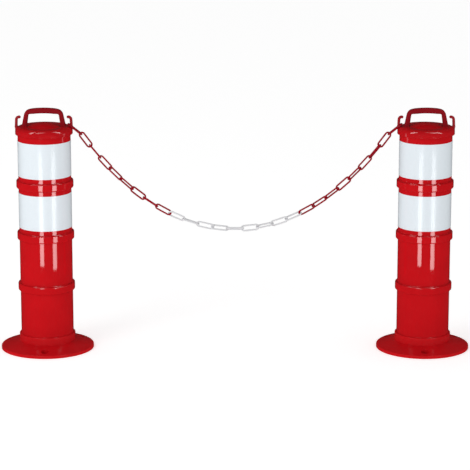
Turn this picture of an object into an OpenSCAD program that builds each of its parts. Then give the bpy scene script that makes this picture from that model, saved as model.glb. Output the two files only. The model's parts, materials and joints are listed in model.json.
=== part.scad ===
// Plastic chain stanchion set: two hollow posts on screw-down feet, joined by a hanging chain.
// Millimetres. +X runs along the chain, +Z is up, and the origin is on the floor midway
// between the posts. Post A stands at -X and post B at +X.

/* [Whole set] */
// Height from the floor to the top of the handle
overall_h = 750; // [620:1:900]
// Distance between the axes of the two posts
post_spacing = 1160; // [900:1:1340]

/* [Tube] */
// Outer diameter of the tube
tube_d = 161; // [140:1:195]
// Wall of the tube
tube_wall = 4; // [3:0.5:6]
// Number of moulded rings on the tube
ring_count = 3; // [3:1:4]
// Height of a moulded ring, and of the foot's collar
ring_h = 23; // [16:1:30]
// How far a ring stands out from the tube
ring_proud = 6.5; // [4:0.5:10]
// Rounding of the edges of the rings and the collar
ring_round = 3; // [1.5:0.5:3.5]
// Extra bare length of tube just under the cap
neck_h = 5; // [0:1:12]

/* [Reflective bands] */
// Thickness of the reflective sheet
band_t = 0.5; // [0.3:0.1:1]
// Bare tube left above and below a band
band_margin = 14.5; // [6:0.5:20]

/* [Foot] */
// Outer diameter of the foot
base_d = 285; // [270:1:380]
// Height of the foot's outer edge
edge_h = 10; // [8:0.5:14]
// Height where the sloping top of the foot meets the collar
collar_z = 26; // [22:1:34]
// How far the collar stands out from the tube
collar_proud = 5.5; // [4:0.5:8]
// Wall of the foot's shell
foot_wall = 4; // [3:0.5:5]
// Thickness of the ledge that carries the tube
ledge_t = 6; // [4:0.5:8]
// Number of floor screws
bolt_count = 3; // [3:1:4]
// Diameter of a screw hole
bolt_d = 13; // [8:0.5:15]
// Diameter of the recess around a screw head
recess_d = 24; // [18:1:28]
// Distance from the foot's edge to the middle of a screw hole
bolt_inset = 24.5; // [20:0.5:28]
// Height of the recess floor above the ground
recess_z = 8; // [5:0.5:9]
// Number of stiffening ribs under the foot
rib_count = 12; // [6:3:18]

/* [Cap] */
// Height of the cap's rim
cap_h = 23; // [20:1:30]
// How far the cap's rim stands out from the tube
cap_proud = 6.75; // [6:0.25:9]
// Radius of the cap's rounded shoulder
shoulder_r = 14; // [10:1:16]
// Thickness of the cap's roof
roof_t = 4; // [3:0.5:5]
// Length of the plug that reaches down inside the tube, below the rim
plug_len = 14; // [8:1:30]
// Wall of the plug
plug_wall = 3.5; // [2.5:0.5:5]
// Height of the dome above the cap's shoulder
dome_h = 12; // [6:1:16]

/* [Handle] */
// Height of the handle above the cap's shoulder
handle_rise = 56; // [48:1:80]
// Thickness of the grip bar, seen from the front
handle_t = 16; // [12:1:20]
// Width of a handle leg where it meets the cap
leg_w = 17.5; // [15:0.5:22]
// Depth of the handle, front to back
handle_depth = 22; // [16:1:28]
// How far a leg leans in from its foot to the grip
leg_lean = 3.5; // [0:0.5:8]
// Radius of the gentle arch of the grip's underside
arch_r = 296; // [200:1:500]

/* [Hooks] */
// Width of a hook's stem, seen from the front
hook_w = 8.5; // [7:0.5:9]
// Thickness of a hook, front to back
hook_t = 8; // [6:0.5:8]
// Height of a hook above the cap's shoulder
hook_rise = 32.5; // [28:0.5:42]
// Radius inside the hook's curl
hook_in_r = 3.5; // [2:0.5:5]
// Angle through which the hook curls over
hook_curl = 100; // [80:5:130]

/* [Chain] */
// Number of links, including the one on each hook
link_count = 27; // [25:2:27]
// Length from one link's bearing point to the next
link_pitch = 46; // [42:0.5:56]
// Thickness of a link's wire
wire_d = 5; // [4:0.5:5]
// Clear width inside a link
link_gap = 10.4; // [10.4:0.2:13]
// Slope of the two end links, which lie on the rims
end_slope = 39; // [36:1:42]

/* [Hidden] */
// How far joined shapes run into each other, and cuts run past a face
lap = 1;

// Clearances
press_gap = 0.1;        // between pieces that are pressed together
tube_gap = 0.15;        // around the tube in the foot and the cap
link_slack = 0.6;       // between the wires of neighbouring links
rest_gap = 0.3;         // between an end link and the shoulder that it lies on

// Tube and cap
tube_r = tube_d / 2;
bore_r = tube_r - tube_wall;
cap_r = tube_r + cap_proud;
cap_top = overall_h - handle_rise;
cap_bottom = cap_top - cap_h;
roof_under = cap_top - roof_t;
flat_r = cap_r - shoulder_r;
tube_bottom = ledge_t;
tube_top = cap_bottom + (cap_h - roof_t) * 0.8;

// Rings share the bare tube between the collar and the cap into equal fields
collar_top = collar_z + ring_h;
field_h = (cap_bottom - neck_h - collar_top - ring_count * ring_h) / (ring_count + 1);
function ring_z(i) = collar_top + i * field_h + (i - 1) * ring_h;
band_h = field_h - 2 * band_margin;

// Foot
base_r = base_d / 2;
edge_round = 3;         // rounding of the foot's outer edge
edge_turn = 75;         // angle at which that rounding runs into the slope
collar_r = tube_r + collar_proud;
bolt_r = base_r - bolt_inset;
boss_wall = 3;          // wall around a screw recess, under the foot
ledge_w = 6;            // width of the ledge that the tube stands on
sleeve_wall = 3;        // wall around the tube, under the foot
rib_t = foot_wall / 2;
slope_extra = 1.5;      // keeps the wall under the slope as thick as the others

// Handle
foot_out = flat_r - 6.75;
foot_in = foot_out - leg_w;
corner_x = foot_in - leg_lean;
arch_z = overall_h - handle_t - arch_r;
corner_z = arch_z + sqrt(pow(arch_r, 2) - pow(corner_x, 2));
peg_w = 8;
peg_depth = 12;
peg_above = 3;          // how far the peg runs up into the handle's leg
peg_below = 3;          // how far it comes out under the cap's roof

// Dome between the handle's feet
dome_base_r = foot_in - 1;
dome_sphere_r = (pow(dome_base_r, 2) + pow(dome_h, 2)) / (2 * dome_h);

// Hooks
hook_out = cap_r - 0.25;
hook_in = hook_out - hook_w;
curl_r = hook_in_r + hook_w;
curl_x = hook_out - curl_r;
curl_z = cap_top + hook_rise - curl_r;
hook_bulge = 1.2;
hook_fillet = 4;
stem_below = 2;         // how far the stem's outer face runs down past the shoulder
hook_peg_size = [4, 6, 12];
hook_peg_x = hook_out - hook_w / 2 + 1.2;

// Links
link_r = (link_gap + wire_d) / 2;
link_straight = link_pitch + link_slack + wire_d - 2 * link_r;
group = link_count / 3;

// How far each link is turned about the chain's own line, from standing in the XZ plane.
// Neighbours differ by 62 degrees or more, because each passes through the other's gap.
link_turn = [
    90, 0, 78, 10, -56, 50, -18, 72, -40,
    24, 90, 14, -52, 62, -6, -72, 12, -62,
    24, -60, 48, -18, 50, -32, 62, -4, 90
];
function turn(i) = i == link_count ? 90 : link_turn[i - 1];

// The first link's round end bears on the two inner edges of the hook's stem, and its side
// wires lie on the shoulder.
end_r = link_gap / 2;
edge_gap = (end_r - sqrt(pow(end_r, 2) - pow(hook_t / 2, 2))) * cos(end_slope);
wire_x = hook_in - edge_gap - (wire_d + link_slack) / 2;
shoulder_clear = shoulder_r + wire_d / 2 + rest_gap;
wire_z = cap_top - shoulder_r + (shoulder_clear + (flat_r - wire_x) * sin(end_slope)) / cos(end_slope);
half_play = (wire_d + link_slack) / 2;
reach = link_pitch + 2 * half_play;
tip_x = -post_spacing / 2 + wire_x + reach * cos(end_slope);
tip_z = wire_z - reach * sin(end_slope);
half_link = link_pitch / 2 + half_play;
end_middle = [tip_x - half_link * cos(end_slope), 0, tip_z + half_link * sin(end_slope)];

// The second link pulls on the first one's tip along its own slope, and starts from there.
function start_at(slope_2) = tip_x - half_play * cos(slope_2);

// Between the end links the chain hangs freely. Equal links of equal weight stand at slopes
// whose tangents change by the same step from link to link, and the step is the one that
// fills the span.
mid_link = (link_count + 1) / 2;
function slope(i, step) = atan(step * (mid_link - i));
function run(step, i = 2) = i >= link_count ? 0
    : link_pitch * cos(slope(i, step)) + run(step, i + 1);
function find_step(low, high, tries = 40) = tries == 0 ? (low + high) / 2
    : run((low + high) / 2) > -2 * start_at(slope(2, (low + high) / 2))
        ? find_step((low + high) / 2, high, tries - 1)
        : find_step(low, (low + high) / 2, tries - 1);
step = find_step(0.001, 3);
start_x = start_at(slope(2, step));
start_z = tip_z + half_play * sin(slope(2, step));

function link_slope(i) = i == 1 ? end_slope : i == link_count ? -end_slope : slope(i, step);
function joint_x(i) = i == 1 ? start_x : joint_x(i - 1) + link_pitch * cos(link_slope(i));
function joint_z(i) = i == 1 ? start_z : joint_z(i - 1) - link_pitch * sin(link_slope(i));

// Names and colours
function link_name(i) = str("link_", i < 10 ? "0" : "", i);
POST_PARTS = ["foot", "tube", "band_upper", "band_lower", "cap", "handle", "hook_chain", "hook_spare"];
red = "#d3141c";
dark_red = "#9b0a1c";
white = "#e6edf4";
$fn = 96;

// ---- Shared shapes ----

// The section of a moulded ring, with its outer corners rounded
module ring_section(inner_r, outer_r, height, round_r) {
    core_r = outer_r - round_r;
    intersection() {
        union() {
            translate([inner_r, 0]) square([core_r - inner_r, height]);
            translate([inner_r, round_r]) square([outer_r - inner_r, height - 2 * round_r]);
            for (z = [round_r, height - round_r]) translate([core_r, z]) circle(round_r);
        }
        translate([inner_r, 0]) square([outer_r - inner_r, height]);
    }
}

// Points of an arc about a centre, from one angle to another
function arc(x, y, r, from, to, count = 12) =
    [for (i = [0:count]) let (a = from + (to - from) * i / count) [x + r * cos(a), y + r * sin(a)]];

// The outer form of the cap, without its dome. The hooks are trimmed to it.
module cap_form(grow = 0) {
    rotate_extrude() polygon(concat(
        [[0, cap_bottom - grow], [cap_r + grow, cap_bottom - grow]],
        arc(flat_r, cap_top - shoulder_r, shoulder_r + grow, 0, 90, 16),
        [[0, cap_top + grow]]
    ));
}

// ---- Sub-parts of one post, about its own axis, with the chain on the +X side ----

// The part of the foot above the ground and outside the tube, as one solid
module foot_form() {
    socket_r = tube_r + tube_gap;
    rotate_extrude() union() {
        polygon(concat(
            [[tube_r - ledge_w, 0], [base_r, 0]],
            arc(base_r - edge_round, edge_h - edge_round, edge_round, 0, edge_turn, 6),
            [[collar_r - lap, collar_z], [socket_r, collar_z], [socket_r, ledge_t]],
            [[tube_r - ledge_w, ledge_t]]
        ));
        translate([0, collar_z - ring_round])
            ring_section(socket_r, collar_r, ring_h + ring_round, ring_round);
    }
}

// The hollow under the foot, which follows the slope of its top
module foot_hollow() {
    inner_r = tube_r + sleeve_wall;
    outer_r = base_r - foot_wall;
    inner_top = collar_z - foot_wall - slope_extra;
    rotate_extrude() polygon([
        [inner_r, -lap], [outer_r, -lap], [outer_r, edge_h - foot_wall - lap],
        [collar_r + 2 * lap, inner_top], [inner_r, inner_top]
    ]);
}

module bolt_places() {
    for (i = [0:bolt_count - 1]) rotate([0, 0, -90 + i * 360 / bolt_count])
        translate([bolt_r, 0, 0]) children();
}

module foot() {
    color(red) difference() {
        foot_form();
        // the hollow, with ribs and screw bosses left standing in it
        difference() {
            foot_hollow();
            for (i = [0:rib_count - 1]) rotate([0, 0, (i + 0.5) * 360 / rib_count])
                translate([0, -rib_t / 2, -2 * lap]) cube([base_r, rib_t, collar_z]);
            bolt_places() translate([0, 0, -2 * lap]) cylinder(d = recess_d + 2 * boss_wall, h = collar_z);
        }
        bolt_places() {
            translate([0, 0, recess_z]) cylinder(d = recess_d, h = collar_z);
            translate([0, 0, -lap]) cylinder(d = bolt_d, h = collar_z);
        }
    }
}

module tube() {
    color(red) rotate_extrude() union() {
        translate([bore_r, tube_bottom]) square([tube_wall, tube_top - tube_bottom]);
        for (i = [1:ring_count]) translate([0, ring_z(i)])
            ring_section(tube_r - lap, tube_r + ring_proud, ring_h, ring_round);
    }
}

// A reflective band, centred in the field above the given ring
module band(ring) {
    color(white) rotate_extrude()
        translate([tube_r, ring_z(ring) + ring_h + band_margin]) square([band_t, band_h]);
}

module band_upper() { band(ring_count); }

module band_lower() { band(ring_count - 1); }

module cap() {
    plug_r = bore_r - tube_gap;
    color(red) difference() {
        union() {
            cap_form();
            translate([0, 0, cap_bottom - plug_len]) cylinder(r = plug_r, h = plug_len + lap);
            intersection() {
                translate([0, 0, cap_top + dome_h - dome_sphere_r]) sphere(dome_sphere_r);
                translate([0, 0, roof_under]) cylinder(r = flat_r, h = dome_h + 2 * roof_t);
            }
        }
        // the space inside the plug, up to the roof
        translate([0, 0, cap_bottom - plug_len - lap])
            cylinder(r = plug_r - plug_wall, h = roof_under - cap_bottom + plug_len + lap);
        // the groove that takes the end of the tube
        translate([0, 0, cap_bottom - lap]) difference() {
            cylinder(r = tube_r + tube_gap, h = tube_top + tube_gap - cap_bottom + lap);
            translate([0, 0, -lap]) cylinder(r = plug_r, h = cap_h + 2 * lap);
        }
        for (side = [-1, 1]) {
            handle_peg(side, press_gap);
            hook_peg(side, press_gap);
        }
    }
}

// A handle's peg, through the cap's roof
module handle_peg(side, grow = 0) {
    peg_h = peg_above + roof_t + peg_below;
    translate([side * (foot_in + foot_out) / 2, 0, cap_top + peg_above - peg_h / 2])
        cube([peg_w + 2 * grow, peg_depth + 2 * grow, peg_h + 2 * grow], center = true);
}

module handle() {
    lean = atan((foot_out - corner_x - handle_t) / (corner_z - cap_top));
    grip_end = acos(corner_x / arch_r);
    foot_z = cap_top + press_gap;
    side_points = concat(
        [[foot_in, foot_z], [foot_out, foot_z]],
        arc(corner_x, corner_z, handle_t, lean, grip_end, 10)
    );
    outer_arch = arc(0, arch_z, arch_r + handle_t, grip_end, 180 - grip_end, 16);
    inner_arch = arc(0, arch_z, arch_r, 180 - grip_end, grip_end, 16);
    color(dark_red) {
        translate([0, handle_depth / 2, 0]) rotate([90, 0, 0]) linear_extrude(handle_depth)
            polygon(concat(
                side_points,
                [for (i = [1:len(outer_arch) - 1]) outer_arch[i]],
                [for (i = [len(side_points) - 2:-1:0]) [-side_points[i][0], side_points[i][1]]],
                inner_arch
            ));
        for (side = [-1, 1]) handle_peg(side);
    }
}

// A hook's peg, in the wall of the cap's rim
module hook_peg(side, grow = 0) {
    size = hook_peg_size + [2 * grow, 2 * grow, 2 * grow];
    translate([side * hook_peg_x, 0, cap_top - shoulder_r]) cube(size, center = true);
}

module hook() {
    stem_z = cap_top - shoulder_r - stem_below;
    fillet_z = cap_top + hook_fillet * 0.75;
    mid_z = (cap_top + curl_z) / 2;
    tip = (curl_r + hook_in_r) / 2;
    color(red) {
        difference() {
            translate([0, hook_t / 2, 0]) rotate([90, 0, 0]) linear_extrude(hook_t) union() {
                polygon(concat(
                    [[hook_in, stem_z], [hook_out, stem_z], [hook_out, cap_top]],
                    [[hook_out + hook_bulge, mid_z]],
                    arc(curl_x, curl_z, curl_r, 0, hook_curl, 14),
                    arc(
                        curl_x + tip * cos(hook_curl), curl_z + tip * sin(hook_curl),
                        hook_w / 2, hook_curl, hook_curl + 180, 10
                    ),
                    arc(curl_x, curl_z, hook_in_r, hook_curl, 0, 10),
                    [[hook_in, curl_z - hook_fillet]]
                ));
                polygon([
                    [hook_in - hook_fillet, cap_top - lap], [hook_in + lap, cap_top - lap],
                    [hook_in + lap, fillet_z], [hook_in, fillet_z],
                    [hook_in - hook_fillet, cap_top + 2 * press_gap]
                ]);
            }
            cap_form(press_gap);
        }
        intersection() {
            hook_peg(1);
            cap_form(press_gap + lap / 2);
        }
    }
}

// ---- The chain ----

// One link, lying along X in the XY plane about its own middle
module link_shape() {
    for (side = [-1, 1]) {
        translate([-link_straight / 2, side * link_r, 0]) rotate([0, 90, 0])
            cylinder(d = wire_d, h = link_straight, $fn = 32);
        translate([side * link_straight / 2, 0, 0]) rotate([0, 0, -90 * side])
            rotate_extrude(angle = 180) translate([link_r, 0]) circle(d = wire_d, $fn = 32);
    }
}

module link(i) {
    tint = i > group && i <= 2 * group ? white : red;
    middle = i == 1 ? end_middle
        : i == link_count ? [-end_middle.x, 0, end_middle.z]
        : [joint_x(i) - link_pitch / 2 * cos(link_slope(i)), 0,
           joint_z(i) + link_pitch / 2 * sin(link_slope(i))];
    color(tint) translate(middle) rotate([0, link_slope(i), 0]) rotate([90 + turn(i), 0, 0]) link_shape();
}

// ---- Placing ----

module at_a() { translate([-post_spacing / 2, 0, 0]) children(); }
module at_b() { translate([post_spacing / 2, 0, 0]) mirror([1, 0, 0]) children(); }

at_a() foot();  // foot_a
at_a() tube();  // tube_a
at_a() band_upper();  // band_upper_a
at_a() band_lower();  // band_lower_a
at_a() cap();  // cap_a
at_a() handle();  // handle_a
at_a() hook();  // hook_chain_a
at_a() mirror([1, 0, 0]) hook();  // hook_spare_a
at_b() foot();  // foot_b
at_b() tube();  // tube_b
at_b() band_upper();  // band_upper_b
at_b() band_lower();  // band_lower_b
at_b() cap();  // cap_b
at_b() handle();  // handle_b
at_b() hook();  // hook_chain_b
at_b() mirror([1, 0, 0]) hook();  // hook_spare_b
for (i = [1:link_count]) link(i);
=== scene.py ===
"""Looks for the plastic chain stanchion set: two red posts with reflective bands and a hanging chain.

Everything is in metres, in the frame of the CAD model: +X along the chain, +Z up, -Y towards the
viewer. Sizes and places come from the CAD nodes' boxes where they can. The named values are the
details that the boxes can't give.
"""

import json
import math

import bmesh
import bpy
import numpy as np
from mathutils import Matrix, Vector


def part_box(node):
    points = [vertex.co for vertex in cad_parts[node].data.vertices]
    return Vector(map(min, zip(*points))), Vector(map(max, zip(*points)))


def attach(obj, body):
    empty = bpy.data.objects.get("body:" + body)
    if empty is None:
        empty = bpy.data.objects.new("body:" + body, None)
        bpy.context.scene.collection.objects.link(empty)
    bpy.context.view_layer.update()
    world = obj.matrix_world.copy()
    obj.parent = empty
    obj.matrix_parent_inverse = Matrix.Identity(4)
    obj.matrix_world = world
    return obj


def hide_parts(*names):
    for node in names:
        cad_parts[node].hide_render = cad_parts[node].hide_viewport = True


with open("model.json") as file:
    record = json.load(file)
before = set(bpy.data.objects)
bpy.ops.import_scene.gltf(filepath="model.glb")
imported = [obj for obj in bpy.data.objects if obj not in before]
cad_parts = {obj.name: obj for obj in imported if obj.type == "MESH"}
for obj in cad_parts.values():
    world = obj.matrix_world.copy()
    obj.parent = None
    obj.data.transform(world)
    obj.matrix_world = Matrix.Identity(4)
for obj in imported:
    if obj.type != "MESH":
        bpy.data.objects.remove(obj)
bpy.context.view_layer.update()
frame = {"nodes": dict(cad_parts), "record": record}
MM = 0.001


# ---------------------------------------------------------------- sizes

# Bodies of revolution. A side longer than LONG_SIDE gets two more points, HOLD from its ends.
ROUND = 160
LONG_SIDE = 3 * MM
HOLD = 0.25 * MM

# The tube with its rings, and the sheet on it.
TUBE_WALL = 4 * MM
RING_H = 23 * MM
RING_ROUND = 3 * MM
RING_ROOT = 1.2 * MM
RING_COUNT = 3
BAND_T = 0.5 * MM
BAND_EDGE = 0.2 * MM
BAND_PLAY = 0.02 * MM

# The cap: a rim, a rounded shoulder and a low dome between the handle's legs.
RIM_EDGE = 1 * MM
SHOULDER_R = 14 * MM
CAP_PLAY = 0.15 * MM
CAP_WALL = 4 * MM
DOME_PLAY = 1 * MM

# The handle: two leaning legs that flare at the foot, and a flat arch. BEND is how far each rounded
# corner reaches into the leg and the arch, and BLEND the share of the arch in which a leg's width
# goes over into the arch's.
HANDLE_RISE = 56 * MM
HANDLE_T = 16 * MM
HANDLE_ROUND = 5 * MM
ARCH_R = 296 * MM
LEG_W = 15.5 * MM
LEG_TOP_W = 13 * MM
LEG_LEAN = 7.5 * MM
LEG_SINK = 1 * MM
LEG_EASE = 2 * MM
LEG_FLARE = 1.5 * MM
LEG_FLARE_H = 2.5 * MM
BEND = 10 * MM
BEND_STEPS = 8
ARCH_STEPS = 24
BLEND = 0.35

# The hooks: a slightly bowed shank on the cap's shoulder, a curl of HOOK_CURL degrees and a blunt tip.
HOOK_W = 8.5 * MM
HOOK_T = 8 * MM
HOOK_ROUND = 2.6 * MM
HOOK_RISE = 32.5 * MM
HOOK_INSET = 0.25 * MM
HOOK_BOW = 0.7 * MM
HOOK_IN_R = 3.5 * MM
HOOK_CURL = 100
HOOK_FLARE = 3 * MM
HOOK_FLARE_H = 5 * MM
HOOK_FLARE_DROP = 1 * MM
SHANK_STEPS = 12
CURL_STEPS = 14
TIP_STEPS = 6
TIP_LEAST = 0.08

# The chain's links: round wire, with a fine ridge where the two halves of the mould met.
WIRE_D = 5 * MM
WIRE_SIDES = 24
PARTING = 0.12 * MM
LINK_GAP = 10.4 * MM
LINK_STEPS = 14


class Post:
    """The sizes of one post, read from its CAD nodes. side is 'a' or 'b'."""

    def __init__(self, side):
        self.side = side
        self.body = "post_" + side
        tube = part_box("tube_" + side)
        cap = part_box("cap_" + side)
        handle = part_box("handle_" + side)
        band_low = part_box("band_lower_" + side)
        band_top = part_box("band_upper_" + side)

        self.x = (tube[0].x + tube[1].x) / 2
        self.inward = 1 if self.x < 0 else -1
        self.tube_bottom, self.tube_top = tube[0].z, tube[1].z
        self.ring_r = (tube[1].y - tube[0].y) / 2
        self.bands = [(band_low[0].z, band_low[1].z), (band_top[0].z, band_top[1].z)]
        self.band_r = (band_top[1].y - band_top[0].y) / 2
        self.tube_r = self.band_r - BAND_T

        self.handle_top = handle[1].z
        self.handle_out = (handle[1].x - handle[0].x) / 2
        self.handle_depth = handle[1].y - handle[0].y
        self.cap_r = (cap[1].y - cap[0].y) / 2
        self.dome_top = cap[1].z
        self.cap_top = self.handle_top - HANDLE_RISE
        self.cap_bottom = self.cap_top - RING_H

        # The top ring sits midway between the two bands, and the others follow at the bands' pitch.
        pitch = band_top[0].z - band_low[0].z
        top_ring = (band_low[1].z + band_top[0].z - RING_H) / 2
        self.rings = [top_ring - i * pitch for i in range(RING_COUNT)]


posts = [Post("a"), Post("b")]


# ---------------------------------------------------------------- materials

# Scales of the textures, in features per metre.
CLOUD_SCALE = 14
MARK_SCALE = 55
PEEL_SCALE = 420
BEAD_SCALE = 900

# How rough the handling marks make the gloss, and how deep the peel and the beads are. SHIFT times a
# material's seed moves its textures, so that no two materials show the same clouds.
MARK_ROUGH = 0.05
PEEL_DEPTH = 0.4 * MM
BEAD_DEPTH = 0.2 * MM
BEAD_BUMP = 0.05
BEAD_SHADES = (1.03, 0.95)
SHIFT = Vector((1, 0.7, 1.3))


def new_material(name):
    """A new material and its shader."""
    m = bpy.data.materials.new(name)
    m.use_nodes = True
    return m, m.node_tree.nodes["Principled BSDF"]


def add_noise(m, place, scale, detail, roughness=0.5):
    """A cloudy texture. Returns its value."""
    noise = m.node_tree.nodes.new("ShaderNodeTexNoise")
    noise.inputs["Scale"].default_value = scale
    noise.inputs["Detail"].default_value = detail
    noise.inputs["Roughness"].default_value = roughness
    m.node_tree.links.new(place, noise.inputs["Vector"])
    return noise.outputs["Fac"]


def add_shades(m, shader, value, colour, ends, shades):
    """Colours the shader: one shade of the colour up to the first end, another one from the second."""
    ramp = m.node_tree.nodes.new("ShaderNodeValToRGB")
    for element, end, shade in zip(ramp.color_ramp.elements, ends, shades):
        element.position = end
        element.color = (*[min(1, c * shade) for c in colour], 1)
    m.node_tree.links.new(value, ramp.inputs["Fac"])
    m.node_tree.links.new(ramp.outputs["Color"], shader.inputs["Base Color"])


def add_bump(m, shader, value, strength, depth):
    """Raises the shader's surface by a value."""
    bump = m.node_tree.nodes.new("ShaderNodeBump")
    bump.inputs["Strength"].default_value = strength
    bump.inputs["Distance"].default_value = depth
    m.node_tree.links.new(value, bump.inputs["Height"])
    m.node_tree.links.new(bump.outputs["Normal"], shader.inputs["Normal"])


def plastic(name, colour, rough, peel=0.006, tone=0.05, shine=0.5, seed=0.0):
    """Moulded plastic: slight clouding of the colour, fine peel, and faint handling marks in the gloss."""
    m, shader = new_material(name)
    nodes, links = m.node_tree.nodes, m.node_tree.links
    coordinates = nodes.new("ShaderNodeTexCoord")
    shift = nodes.new("ShaderNodeMapping")
    shift.inputs["Location"].default_value = seed * SHIFT
    links.new(coordinates.outputs["Object"], shift.inputs["Vector"])
    place = shift.outputs["Vector"]

    cloud = add_noise(m, place, CLOUD_SCALE, 3)
    add_shades(m, shader, cloud, colour, (0.3, 0.7), (1 - tone, 1 + tone))

    marks = nodes.new("ShaderNodeMapRange")
    marks.inputs["From Min"].default_value = 0.35
    marks.inputs["From Max"].default_value = 0.75
    marks.inputs["To Min"].default_value = rough
    marks.inputs["To Max"].default_value = rough + MARK_ROUGH
    links.new(add_noise(m, place, MARK_SCALE, 8, 0.7), marks.inputs["Value"])
    links.new(marks.outputs["Result"], shader.inputs["Roughness"])

    add_bump(m, shader, add_noise(m, place, PEEL_SCALE, 2), peel, PEEL_DEPTH)
    shader.inputs["IOR"].default_value = 1.5
    shader.inputs["Specular IOR Level"].default_value = shine
    return m


def reflective_sheet(name, colour):
    """White retroreflective sheet: a fine field of beads under a clear face."""
    m, shader = new_material(name)
    nodes, links = m.node_tree.nodes, m.node_tree.links
    place = nodes.new("ShaderNodeTexCoord")
    beads = nodes.new("ShaderNodeTexVoronoi")
    beads.inputs["Scale"].default_value = BEAD_SCALE
    links.new(place.outputs["Object"], beads.inputs["Vector"])
    add_shades(m, shader, beads.outputs["Distance"], colour, (0, 1), BEAD_SHADES)
    add_bump(m, shader, beads.outputs["Distance"], BEAD_BUMP, BEAD_DEPTH)
    shader.inputs["Roughness"].default_value = 0.3
    shader.inputs["Coat Weight"].default_value = 0.5
    shader.inputs["Coat Roughness"].default_value = 0.08
    return m


POST_RED = plastic("post_red", (0.60, 0.006, 0.010), 0.02, shine=1.0)
FOOT_RED = plastic("foot_red", (0.60, 0.006, 0.010), 0.16, shine=0.15, seed=2.0)
CAP_RED = plastic("cap_red", (0.54, 0.005, 0.009), 0.07, shine=1.0, seed=3.0)
HOOK_RED = plastic("hook_red", (0.36, 0.004, 0.010), 0.30, shine=0.35, seed=4.0)
HANDLE_RED = plastic("handle_red", (0.29, 0.002, 0.008), 0.36, peel=0.04, shine=0.1, seed=5.0)
CHAIN_RED = plastic("chain_red", (0.34, 0.002, 0.012), 0.32, peel=0.02, shine=0.12, seed=7.0)
CHAIN_WHITE = plastic("chain_white", (0.76, 0.76, 0.78), 0.35, peel=0.02, tone=0.03, seed=9.0)
SHEET_WHITE = reflective_sheet("reflective_white", (0.84, 0.91, 0.96))


# ---------------------------------------------------------------- mesh helpers


def clamp(t):
    """t, held between 0 and 1."""
    return min(1, max(0, t))


def make_object(name, bm, material, sharp=40):
    """A new object from a bmesh, smooth except where faces meet at more than sharp degrees."""
    bmesh.ops.remove_doubles(bm, verts=bm.verts, dist=0.005 * MM)
    bmesh.ops.recalc_face_normals(bm, faces=bm.faces)
    mesh = bpy.data.meshes.new(name)
    bm.to_mesh(mesh)
    bm.free()
    mesh.shade_smooth()
    mesh.set_sharp_from_angle(angle=math.radians(sharp))
    mesh.materials.append(material)
    obj = bpy.data.objects.new(name, mesh)
    bpy.context.scene.collection.objects.link(obj)
    return obj


def settle(obj, body, node):
    """obj rides on a body and stands for a CAD node, which is hidden."""
    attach(obj, body)
    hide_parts(node)


def arc(x, z, r, start, end, count):
    """Points of an arc about (x, z), angles in degrees, in count equal steps."""
    angles = [math.radians(start + (end - start) * i / count) for i in range(count + 1)]
    return [(x + r * math.cos(a), z + r * math.sin(a)) for a in angles]


def held(outline):
    """The outline with two more points on each long side, close to its ends, so that it shades flat."""
    points = []
    for i, a in enumerate(outline):
        b = outline[(i + 1) % len(outline)]
        length = math.hypot(b[0] - a[0], b[1] - a[1])
        points.append(a)
        if length > LONG_SIDE:
            for t in (HOLD / length, 1 - HOLD / length):
                points.append((a[0] + (b[0] - a[0]) * t, a[1] + (b[1] - a[1]) * t))
    return points


def lathe(outline, x):
    """A closed body of revolution about the vertical line through (x, 0). outline is a closed
    loop of (radius, height)."""
    outline = held(outline)
    bm = bmesh.new()
    rows = []
    for i in range(ROUND):
        a = 2 * math.pi * i / ROUND
        rows.append([bm.verts.new((x + r * math.cos(a), r * math.sin(a), z)) for r, z in outline])
    for i, here in enumerate(rows):
        there = rows[(i + 1) % ROUND]
        for j in range(len(outline)):
            k = (j + 1) % len(outline)
            on_axis = outline[j][0] < 1e-9 and outline[k][0] < 1e-9
            if not on_axis:
                bm.faces.new((here[j], there[j], there[k], here[k]))
    bmesh.ops.remove_doubles(bm, verts=bm.verts, dist=0.002 * MM)
    return bm


def rounded_box(width, depth, r):
    """A rectangle with rounded corners, as (u, v) points about its middle."""
    u, v = width / 2 - r, depth / 2 - r
    corners = [(u, v), (-u, v), (-u, -v), (u, -v)]
    points = []
    for i, (x, y) in enumerate(corners):
        points += arc(x, y, r, 90 * i, 90 * (i + 1), 5)
    return points


def skin(bm, rows, closed):
    """Faces from each row of vertices to the next one, and round to the first one if closed."""
    spans = list(zip(rows, rows[1:]))
    if closed:
        spans.append((rows[-1], rows[0]))
    for here, there in spans:
        for j in range(len(here)):
            k = (j + 1) % len(here)
            bm.faces.new((here[j], here[k], there[k], there[j]))


def sweep(stations):
    """Joins sections along a path in the XZ plane and closes the ends. A station is (x, z, direction
    in degrees, section), and a section's u points to the left of the direction and its v along Y."""
    bm = bmesh.new()
    rows = []
    for x, z, heading, section in stations:
        a = math.radians(heading)
        rows.append([bm.verts.new((x - math.sin(a) * u, v, z + math.cos(a) * u)) for u, v in section])
    skin(bm, rows, closed=False)
    bm.faces.new(rows[0])
    bm.faces.new(rows[-1][::-1])
    return bm


def headings(points):
    """The direction of a path at each of its points, in degrees."""
    found = []
    for i in range(len(points)):
        a, b = points[max(0, i - 1)], points[min(len(points) - 1, i + 1)]
        found.append(math.degrees(math.atan2(b[1] - a[1], b[0] - a[0])))
    return found


# ---------------------------------------------------------------- post


def ring_outline(p, low):
    """The outer outline of one moulded ring, from its lower root to its upper one."""
    high = low + RING_H
    return (
        arc(p.tube_r + RING_ROOT, low - RING_ROOT, RING_ROOT, 180, 90, 3)
        + arc(p.ring_r - RING_ROUND, low + RING_ROUND, RING_ROUND, -90, 0, 5)
        + arc(p.ring_r - RING_ROUND, high - RING_ROUND, RING_ROUND, 0, 90, 5)
        + arc(p.tube_r + RING_ROOT, high + RING_ROOT, RING_ROOT, -90, -180, 3)
    )


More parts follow.
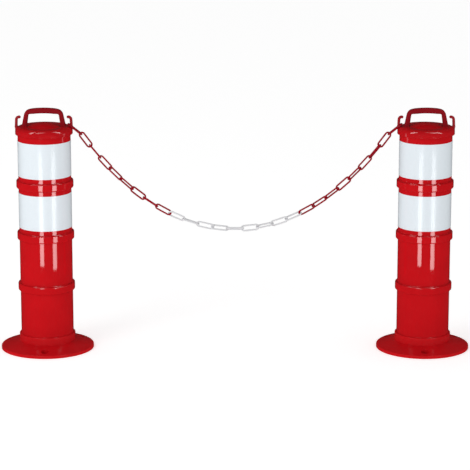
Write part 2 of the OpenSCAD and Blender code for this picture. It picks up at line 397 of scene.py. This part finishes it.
def make_tube(p):
    outline = [(p.tube_r - TUBE_WALL, p.tube_bottom), (p.tube_r, p.tube_bottom)]
    for low in reversed(p.rings):
        outline += ring_outline(p, low)
    outline += [(p.tube_r, p.tube_top), (p.tube_r - TUBE_WALL, p.tube_top)]
    tube = make_object("post_tube_" + p.side, lathe(outline, p.x), POST_RED)
    settle(tube, p.body, "tube_" + p.side)


def make_bands(p):
    inner_r = p.tube_r + BAND_PLAY
    for name, (low, high) in zip(("band_lower_", "band_upper_"), p.bands):
        outline = (
            [(inner_r, low)]
            + arc(p.band_r - BAND_EDGE, low + BAND_EDGE, BAND_EDGE, -90, 0, 3)
            + arc(p.band_r - BAND_EDGE, high - BAND_EDGE, BAND_EDGE, 0, 90, 3)
            + [(inner_r, high)]
        )
        sheet = make_object("sheet_" + name + p.side, lathe(outline, p.x), SHEET_WHITE)
        settle(sheet, p.body, name + p.side)


def make_cap(p):
    """The dome is part of a ball whose size follows from the dome's width and height."""
    inner_r = p.tube_r + CAP_PLAY
    dome_r = p.handle_out - LEG_W - DOME_PLAY
    dome_h = p.dome_top - p.cap_top
    ball = (dome_r**2 + dome_h**2) / (2 * dome_h)
    spread = math.degrees(math.asin(dome_r / ball))
    outline = (
        [(inner_r, p.cap_bottom)]
        + arc(p.cap_r - RIM_EDGE, p.cap_bottom + RIM_EDGE, RIM_EDGE, -90, 0, 4)
        + arc(p.cap_r - SHOULDER_R, p.cap_top - SHOULDER_R, SHOULDER_R, 0, 90, 12)
        + arc(0, p.dome_top - ball, ball, 90 - spread, 90, 16)
        + [(0, p.cap_top - CAP_WALL), (inner_r, p.cap_top - CAP_WALL)]
    )
    cap = make_object("post_cap_" + p.side, lathe(outline, p.x), CAP_RED)
    settle(cap, p.body, "cap_" + p.side)


def handle_path(p):
    """The middle line of the handle, from the foot of one leg over the arch to the other."""
    foot_x = p.handle_out - LEG_W / 2
    arch_r = ARCH_R + HANDLE_T / 2
    arch_z = p.handle_top - HANDLE_T - ARCH_R
    corner_x = foot_x - LEG_LEAN
    corner = Vector((corner_x, arch_z + math.sqrt(arch_r**2 - corner_x**2)))
    leg = [
        (foot_x, p.cap_top - LEG_SINK),
        (foot_x, p.cap_top),
        (foot_x - LEG_EASE / 10, p.cap_top + LEG_EASE),
    ]
    start = math.degrees(math.acos((corner_x - BEND) / arch_r))
    arch = arc(0, arch_z, arch_r, start, 180 - start, ARCH_STEPS)
    leg_end = corner + (Vector((foot_x, p.cap_top)) - corner).normalized() * BEND
    arch_start = Vector(arch[0])
    bend = []
    for i in range(BEND_STEPS + 1):
        t = i / BEND_STEPS
        bend.append(tuple(leg_end * (1 - t) ** 2 + corner * 2 * t * (1 - t) + arch_start * t**2))
    right = leg + bend + arch[1 : ARCH_STEPS // 2 + 1]
    left = [(-x, z) for x, z in right[:-1]][::-1]
    return right + left


def make_handle(p):
    path = handle_path(p)
    stations = []
    for (x, z), heading in zip(path, headings(path)):
        rise = z - p.cap_top
        leg_h = HANDLE_RISE - HANDLE_T
        leg = LEG_W + (LEG_TOP_W - LEG_W) * clamp(rise / leg_h)
        inside = 1 - abs(x) / (p.handle_out - LEG_W)
        width = leg + (HANDLE_T - leg) * clamp(inside / BLEND)
        flare = LEG_FLARE * (1 - clamp(rise / LEG_FLARE_H))
        section = rounded_box(width + flare, p.handle_depth - LEG_FLARE + flare, HANDLE_ROUND)
        stations.append((p.x + x, z, heading, section))
    handle = make_object("post_handle_" + p.side, sweep(stations), HANDLE_RED, sharp=50)
    settle(handle, p.body, "handle_" + p.side)


def hook_path(p):
    """The middle line of a hook from the cap's rim to its tip, and the size of the section at each of
    its points. The tip closes like half a ball."""
    middle = p.cap_r - HOOK_INSET - HOOK_W / 2
    curl_r = HOOK_IN_R + HOOK_W / 2
    curl_z = p.cap_top + HOOK_RISE - HOOK_IN_R - HOOK_W
    low = p.cap_top - SHOULDER_R
    path = []
    for i in range(SHANK_STEPS):
        t = i / SHANK_STEPS
        path.append((middle + HOOK_BOW * math.sin(math.pi * t), low + (curl_z - low) * t))
    path += arc(middle - curl_r, curl_z, curl_r, 0, HOOK_CURL, CURL_STEPS)
    sizes = [1.0] * len(path)
    end = path[-1]
    a = math.radians(HOOK_CURL)
    for i in range(1, TIP_STEPS + 1):
        turn = math.radians(90 * i / TIP_STEPS)
        reach = HOOK_W / 2 * math.sin(turn)
        path.append((end[0] - math.sin(a) * reach, end[1] + math.cos(a) * reach))
        sizes.append(max(TIP_LEAST, math.cos(turn)))
    return path, sizes


def make_hook(p, facing, node):
    """facing is 1 for the hook on the +X side of the post, and -1 for the other."""
    path, sizes = hook_path(p)
    stations = []
    for (x, z), heading, size in zip(path, headings(path), sizes):
        away = abs(z - p.cap_top + HOOK_FLARE_DROP)
        flare = HOOK_FLARE * (1 - clamp(away / HOOK_FLARE_H)) ** 2
        section = rounded_box((HOOK_W + flare) * size, (HOOK_T + flare / 2) * size, HOOK_ROUND * size)
        stations.append((x, z, heading, section))
    bm = sweep(stations)
    turn = Matrix.Scale(facing, 4, Vector((1, 0, 0)))
    bmesh.ops.transform(bm, matrix=Matrix.Translation((p.x, 0, 0)) @ turn, verts=bm.verts)
    hook = make_object(node.replace("hook", "post_hook"), bm, HOOK_RED, sharp=60)
    settle(hook, p.body, node)


def finish_foot(p):
    """The foot keeps its CAD shape."""
    materials = frame["nodes"]["foot_" + p.side].data.materials
    materials.clear()
    materials.append(FOOT_RED)


for post in posts:
    make_tube(post)
    make_bands(post)
    make_cap(post)
    make_handle(post)
    make_hook(post, post.inward, "hook_chain_" + post.side)
    make_hook(post, -post.inward, "hook_spare_" + post.side)
    finish_foot(post)


# ---------------------------------------------------------------- chain


def link_frame(node):
    """The middle of a CAD link, its axes along it, across it and square to its plane, and its length."""
    co = np.array([v.co for v in frame["nodes"][node].data.vertices], float)
    low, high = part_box(node)
    middle = (np.array(low) + np.array(high)) / 2
    spread = np.linalg.svd(co - middle, full_matrices=False)[2]
    along, square = Vector(spread[0]), Vector(spread[2])
    if along.x < 0:
        along.negate()
    length = 2 * max(abs((co - middle) @ np.array(along)))
    return Vector(middle), (along, square.cross(along), square), length


def wire_section():
    """Round wire with the mould's parting line on the inside and the outside of the link."""
    points = []
    for i in range(WIRE_SIDES):
        a = 2 * math.pi * i / WIRE_SIDES
        ridge = PARTING if i % (WIRE_SIDES // 2) == 0 else 0.0
        points.append((math.cos(a) * (WIRE_D / 2 + ridge), math.sin(a) * WIRE_D / 2))
    return points


def link_mesh(length):
    """One moulded link about its own middle: two half rings of wire and the straight wires between."""
    end_r = (LINK_GAP + WIRE_D) / 2
    half = length / 2 - WIRE_D / 2 - end_r
    across = wire_section()
    bm = bmesh.new()
    rows = []
    for middle, start in ((half, -90), (-half, 90)):
        for i in range(LINK_STEPS + 1):
            a = math.radians(start + 180 * i / LINK_STEPS)
            ring = [(middle + (end_r + u) * math.cos(a), (end_r + u) * math.sin(a), v) for u, v in across]
            rows.append([bm.verts.new(point) for point in ring])
    skin(bm, rows, closed=True)
    return bm


def body_of(node):
    """The body that a CAD node belongs to."""
    bodies = frame["record"]["behaviour"]["bodies"]
    return next(body for body, members in bodies.items() if node in members)


def slot_of(node):
    """The material slot of a CAD node."""
    return next(s["material_slot"] for s in frame["record"]["subparts"] if s["node"] == node)


def make_link(node):
    middle, axes, length = link_frame(node)
    bm = link_mesh(length)
    turn = Matrix(axes).transposed().to_4x4()
    bmesh.ops.transform(bm, matrix=Matrix.Translation(middle) @ turn, verts=bm.verts)
    slot = slot_of(node)
    material = CHAIN_WHITE if slot == "chain_white" else CHAIN_RED
    link = make_object(node.replace("link", "chain_link"), bm, material, sharp=60)
    settle(link, body_of(node), node)


for name in sorted(n for n in frame["nodes"] if n.startswith("link_")):
    make_link(name)


# ---------------------------------------------------------------- floor, lights and camera

CAMERA_BACK = 7.0
CAMERA_UP = 2.004
CAMERA_TILT = 13.26
LENS = 179.6
SENSOR = 36
CLIP = (0.1, 100)

# The white studio. Gloss sees a nearly dark one.
SKY_LOW = 0.85
SKY_HIGH = 0.40
SKY_IN_GLOSS = 0.02
FLOOR_SIZE = 60
FLOOR_WHITE = 0.93
FLOOR_GLOW = 0.46

# Two tall strips by each post: name, bearing in degrees, width, lower end and upper end.
STRIP_AWAY = 1.0
STRIP_GLOW = 0.55
STRIP_SPREAD = 50
STRIPS = [("left", -17.5, 0.29, 0.045, 0.440), ("right", 37, 0.31, 0.032, 0.440)]

# Two lights above each cap: name and bearing in degrees. SPOT_RISE is their height as an angle.
SPOT_AWAY = 1.3
SPOT_GLOW = 1.1
SPOT_SPREAD = 100
SPOT_SIZE = (0.30, 1.3)
SPOT_RISE = 42
SPOTS = [("left", -59), ("right", 66)]

# One broad light from the front left, which gloss doesn't see.
KEY_PLACE = (-3.2, -3.4, 2.6)
KEY_TARGET = (0, 0, 0.4)
KEY_SIZE = (2.4, 2.0)
KEY_GLOW = 3.4


def make_floor():
    bpy.ops.mesh.primitive_plane_add(size=FLOOR_SIZE)
    floor = bpy.context.object
    floor.name = "studio_floor"
    m, shader = new_material("studio_floor")
    shader.inputs["Base Color"].default_value = (FLOOR_WHITE, FLOOR_WHITE, FLOOR_WHITE, 1)
    shader.inputs["Roughness"].default_value = 0.9
    shader.inputs["Specular IOR Level"].default_value = 0.0
    shader.inputs["Emission Color"].default_value = (1, 1, 1, 1)
    shader.inputs["Emission Strength"].default_value = FLOOR_GLOW
    floor.data.materials.append(m)
    floor.visible_glossy = False


def make_world():
    """A white sky, brighter low down than overhead. Gloss sees it much dimmer, as between black flags."""
    world = bpy.data.worlds.new("studio")
    bpy.context.scene.world = world
    world.use_nodes = True
    nodes, links = world.node_tree.nodes, world.node_tree.links
    sky = nodes["Background"]
    sky.inputs["Color"].default_value = (1, 1, 1, 1)
    direction = nodes.new("ShaderNodeTexCoord")
    height = nodes.new("ShaderNodeSeparateXYZ")
    fade = nodes.new("ShaderNodeMapRange")
    fade.inputs["To Min"].default_value = SKY_LOW
    fade.inputs["To Max"].default_value = SKY_HIGH
    links.new(direction.outputs["Generated"], height.inputs["Vector"])
    links.new(height.outputs["Z"], fade.inputs["Value"])
    links.new(fade.outputs["Result"], sky.inputs["Strength"])
    flags = nodes.new("ShaderNodeBackground")
    flags.inputs["Color"].default_value = (1, 1, 1, 1)
    flags.inputs["Strength"].default_value = SKY_IN_GLOSS
    ray = nodes.new("ShaderNodeLightPath")
    mix = nodes.new("ShaderNodeMixShader")
    links.new(ray.outputs["Is Glossy Ray"], mix.inputs["Fac"])
    links.new(sky.outputs["Background"], mix.inputs[1])
    links.new(flags.outputs["Background"], mix.inputs[2])
    links.new(mix.outputs["Shader"], nodes["World Output"].inputs["Surface"])


def area_light(name, place, target, size, radiance):
    """A rectangular soft light that the camera doesn't see. Its power follows from its radiance."""
    data = bpy.data.lights.new(name, "AREA")
    data.shape = "RECTANGLE"
    data.size, data.size_y = size
    data.energy = radiance * math.pi * size[0] * size[1]
    lamp = bpy.data.objects.new(name, data)
    bpy.context.scene.collection.objects.link(lamp)
    lamp.location = place
    lamp.rotation_euler = (Vector(target) - Vector(place)).to_track_quat("-Z", "Y").to_euler()
    lamp.visible_camera = False
    return lamp


def gloss_light(name, place, target, size, radiance, spread):
    """A light for the gloss only, with a beam of spread degrees."""
    lamp = area_light(name, place, target, size, radiance)
    lamp.data.spread = math.radians(spread)
    lamp.visible_diffuse = False


def around(post, bearing, away, height):
    """A point away from a post's axis. bearing is in degrees from the direction of the camera."""
    a = math.atan2(-post.x, CAMERA_BACK) + math.radians(bearing)
    return Vector((post.x + away * math.sin(a), -away * math.cos(a), height))


def add_gloss(post):
    """The strips show in the tube, and their beams are too narrow to reach the other post. The other
    two lights show on the cap's shoulder."""
    for name, bearing, width, low, high in STRIPS:
        middle = (low + high) / 2
        place = around(post, bearing, STRIP_AWAY, middle)
        size = (width, high - low)
        target = (post.x, 0, middle)
        gloss_light(f"strip_{name}_{post.side}", place, target, size, STRIP_GLOW, STRIP_SPREAD)
    spot_z = post.cap_top + SPOT_AWAY * math.tan(math.radians(SPOT_RISE))
    for name, bearing in SPOTS:
        place = around(post, bearing, SPOT_AWAY, spot_z)
        target = (post.x, 0, post.cap_top)
        gloss_light(f"spot_{name}_{post.side}", place, target, SPOT_SIZE, SPOT_GLOW, SPOT_SPREAD)


def make_camera():
    data = bpy.data.cameras.new("camera")
    data.sensor_width = SENSOR
    data.lens = LENS
    data.clip_start, data.clip_end = CLIP
    cam = bpy.data.objects.new("camera", data)
    bpy.context.scene.collection.objects.link(cam)
    cam.location = (0, -CAMERA_BACK, CAMERA_UP)
    cam.rotation_euler = (math.radians(90 - CAMERA_TILT), 0, 0)
    bpy.context.scene.camera = cam


make_floor()
make_world()
for post in posts:
    add_gloss(post)
key = area_light("key", KEY_PLACE, KEY_TARGET, KEY_SIZE, KEY_GLOW)
key.visible_glossy = False
make_camera()
bpy.context.scene.view_settings.view_transform = "Standard"
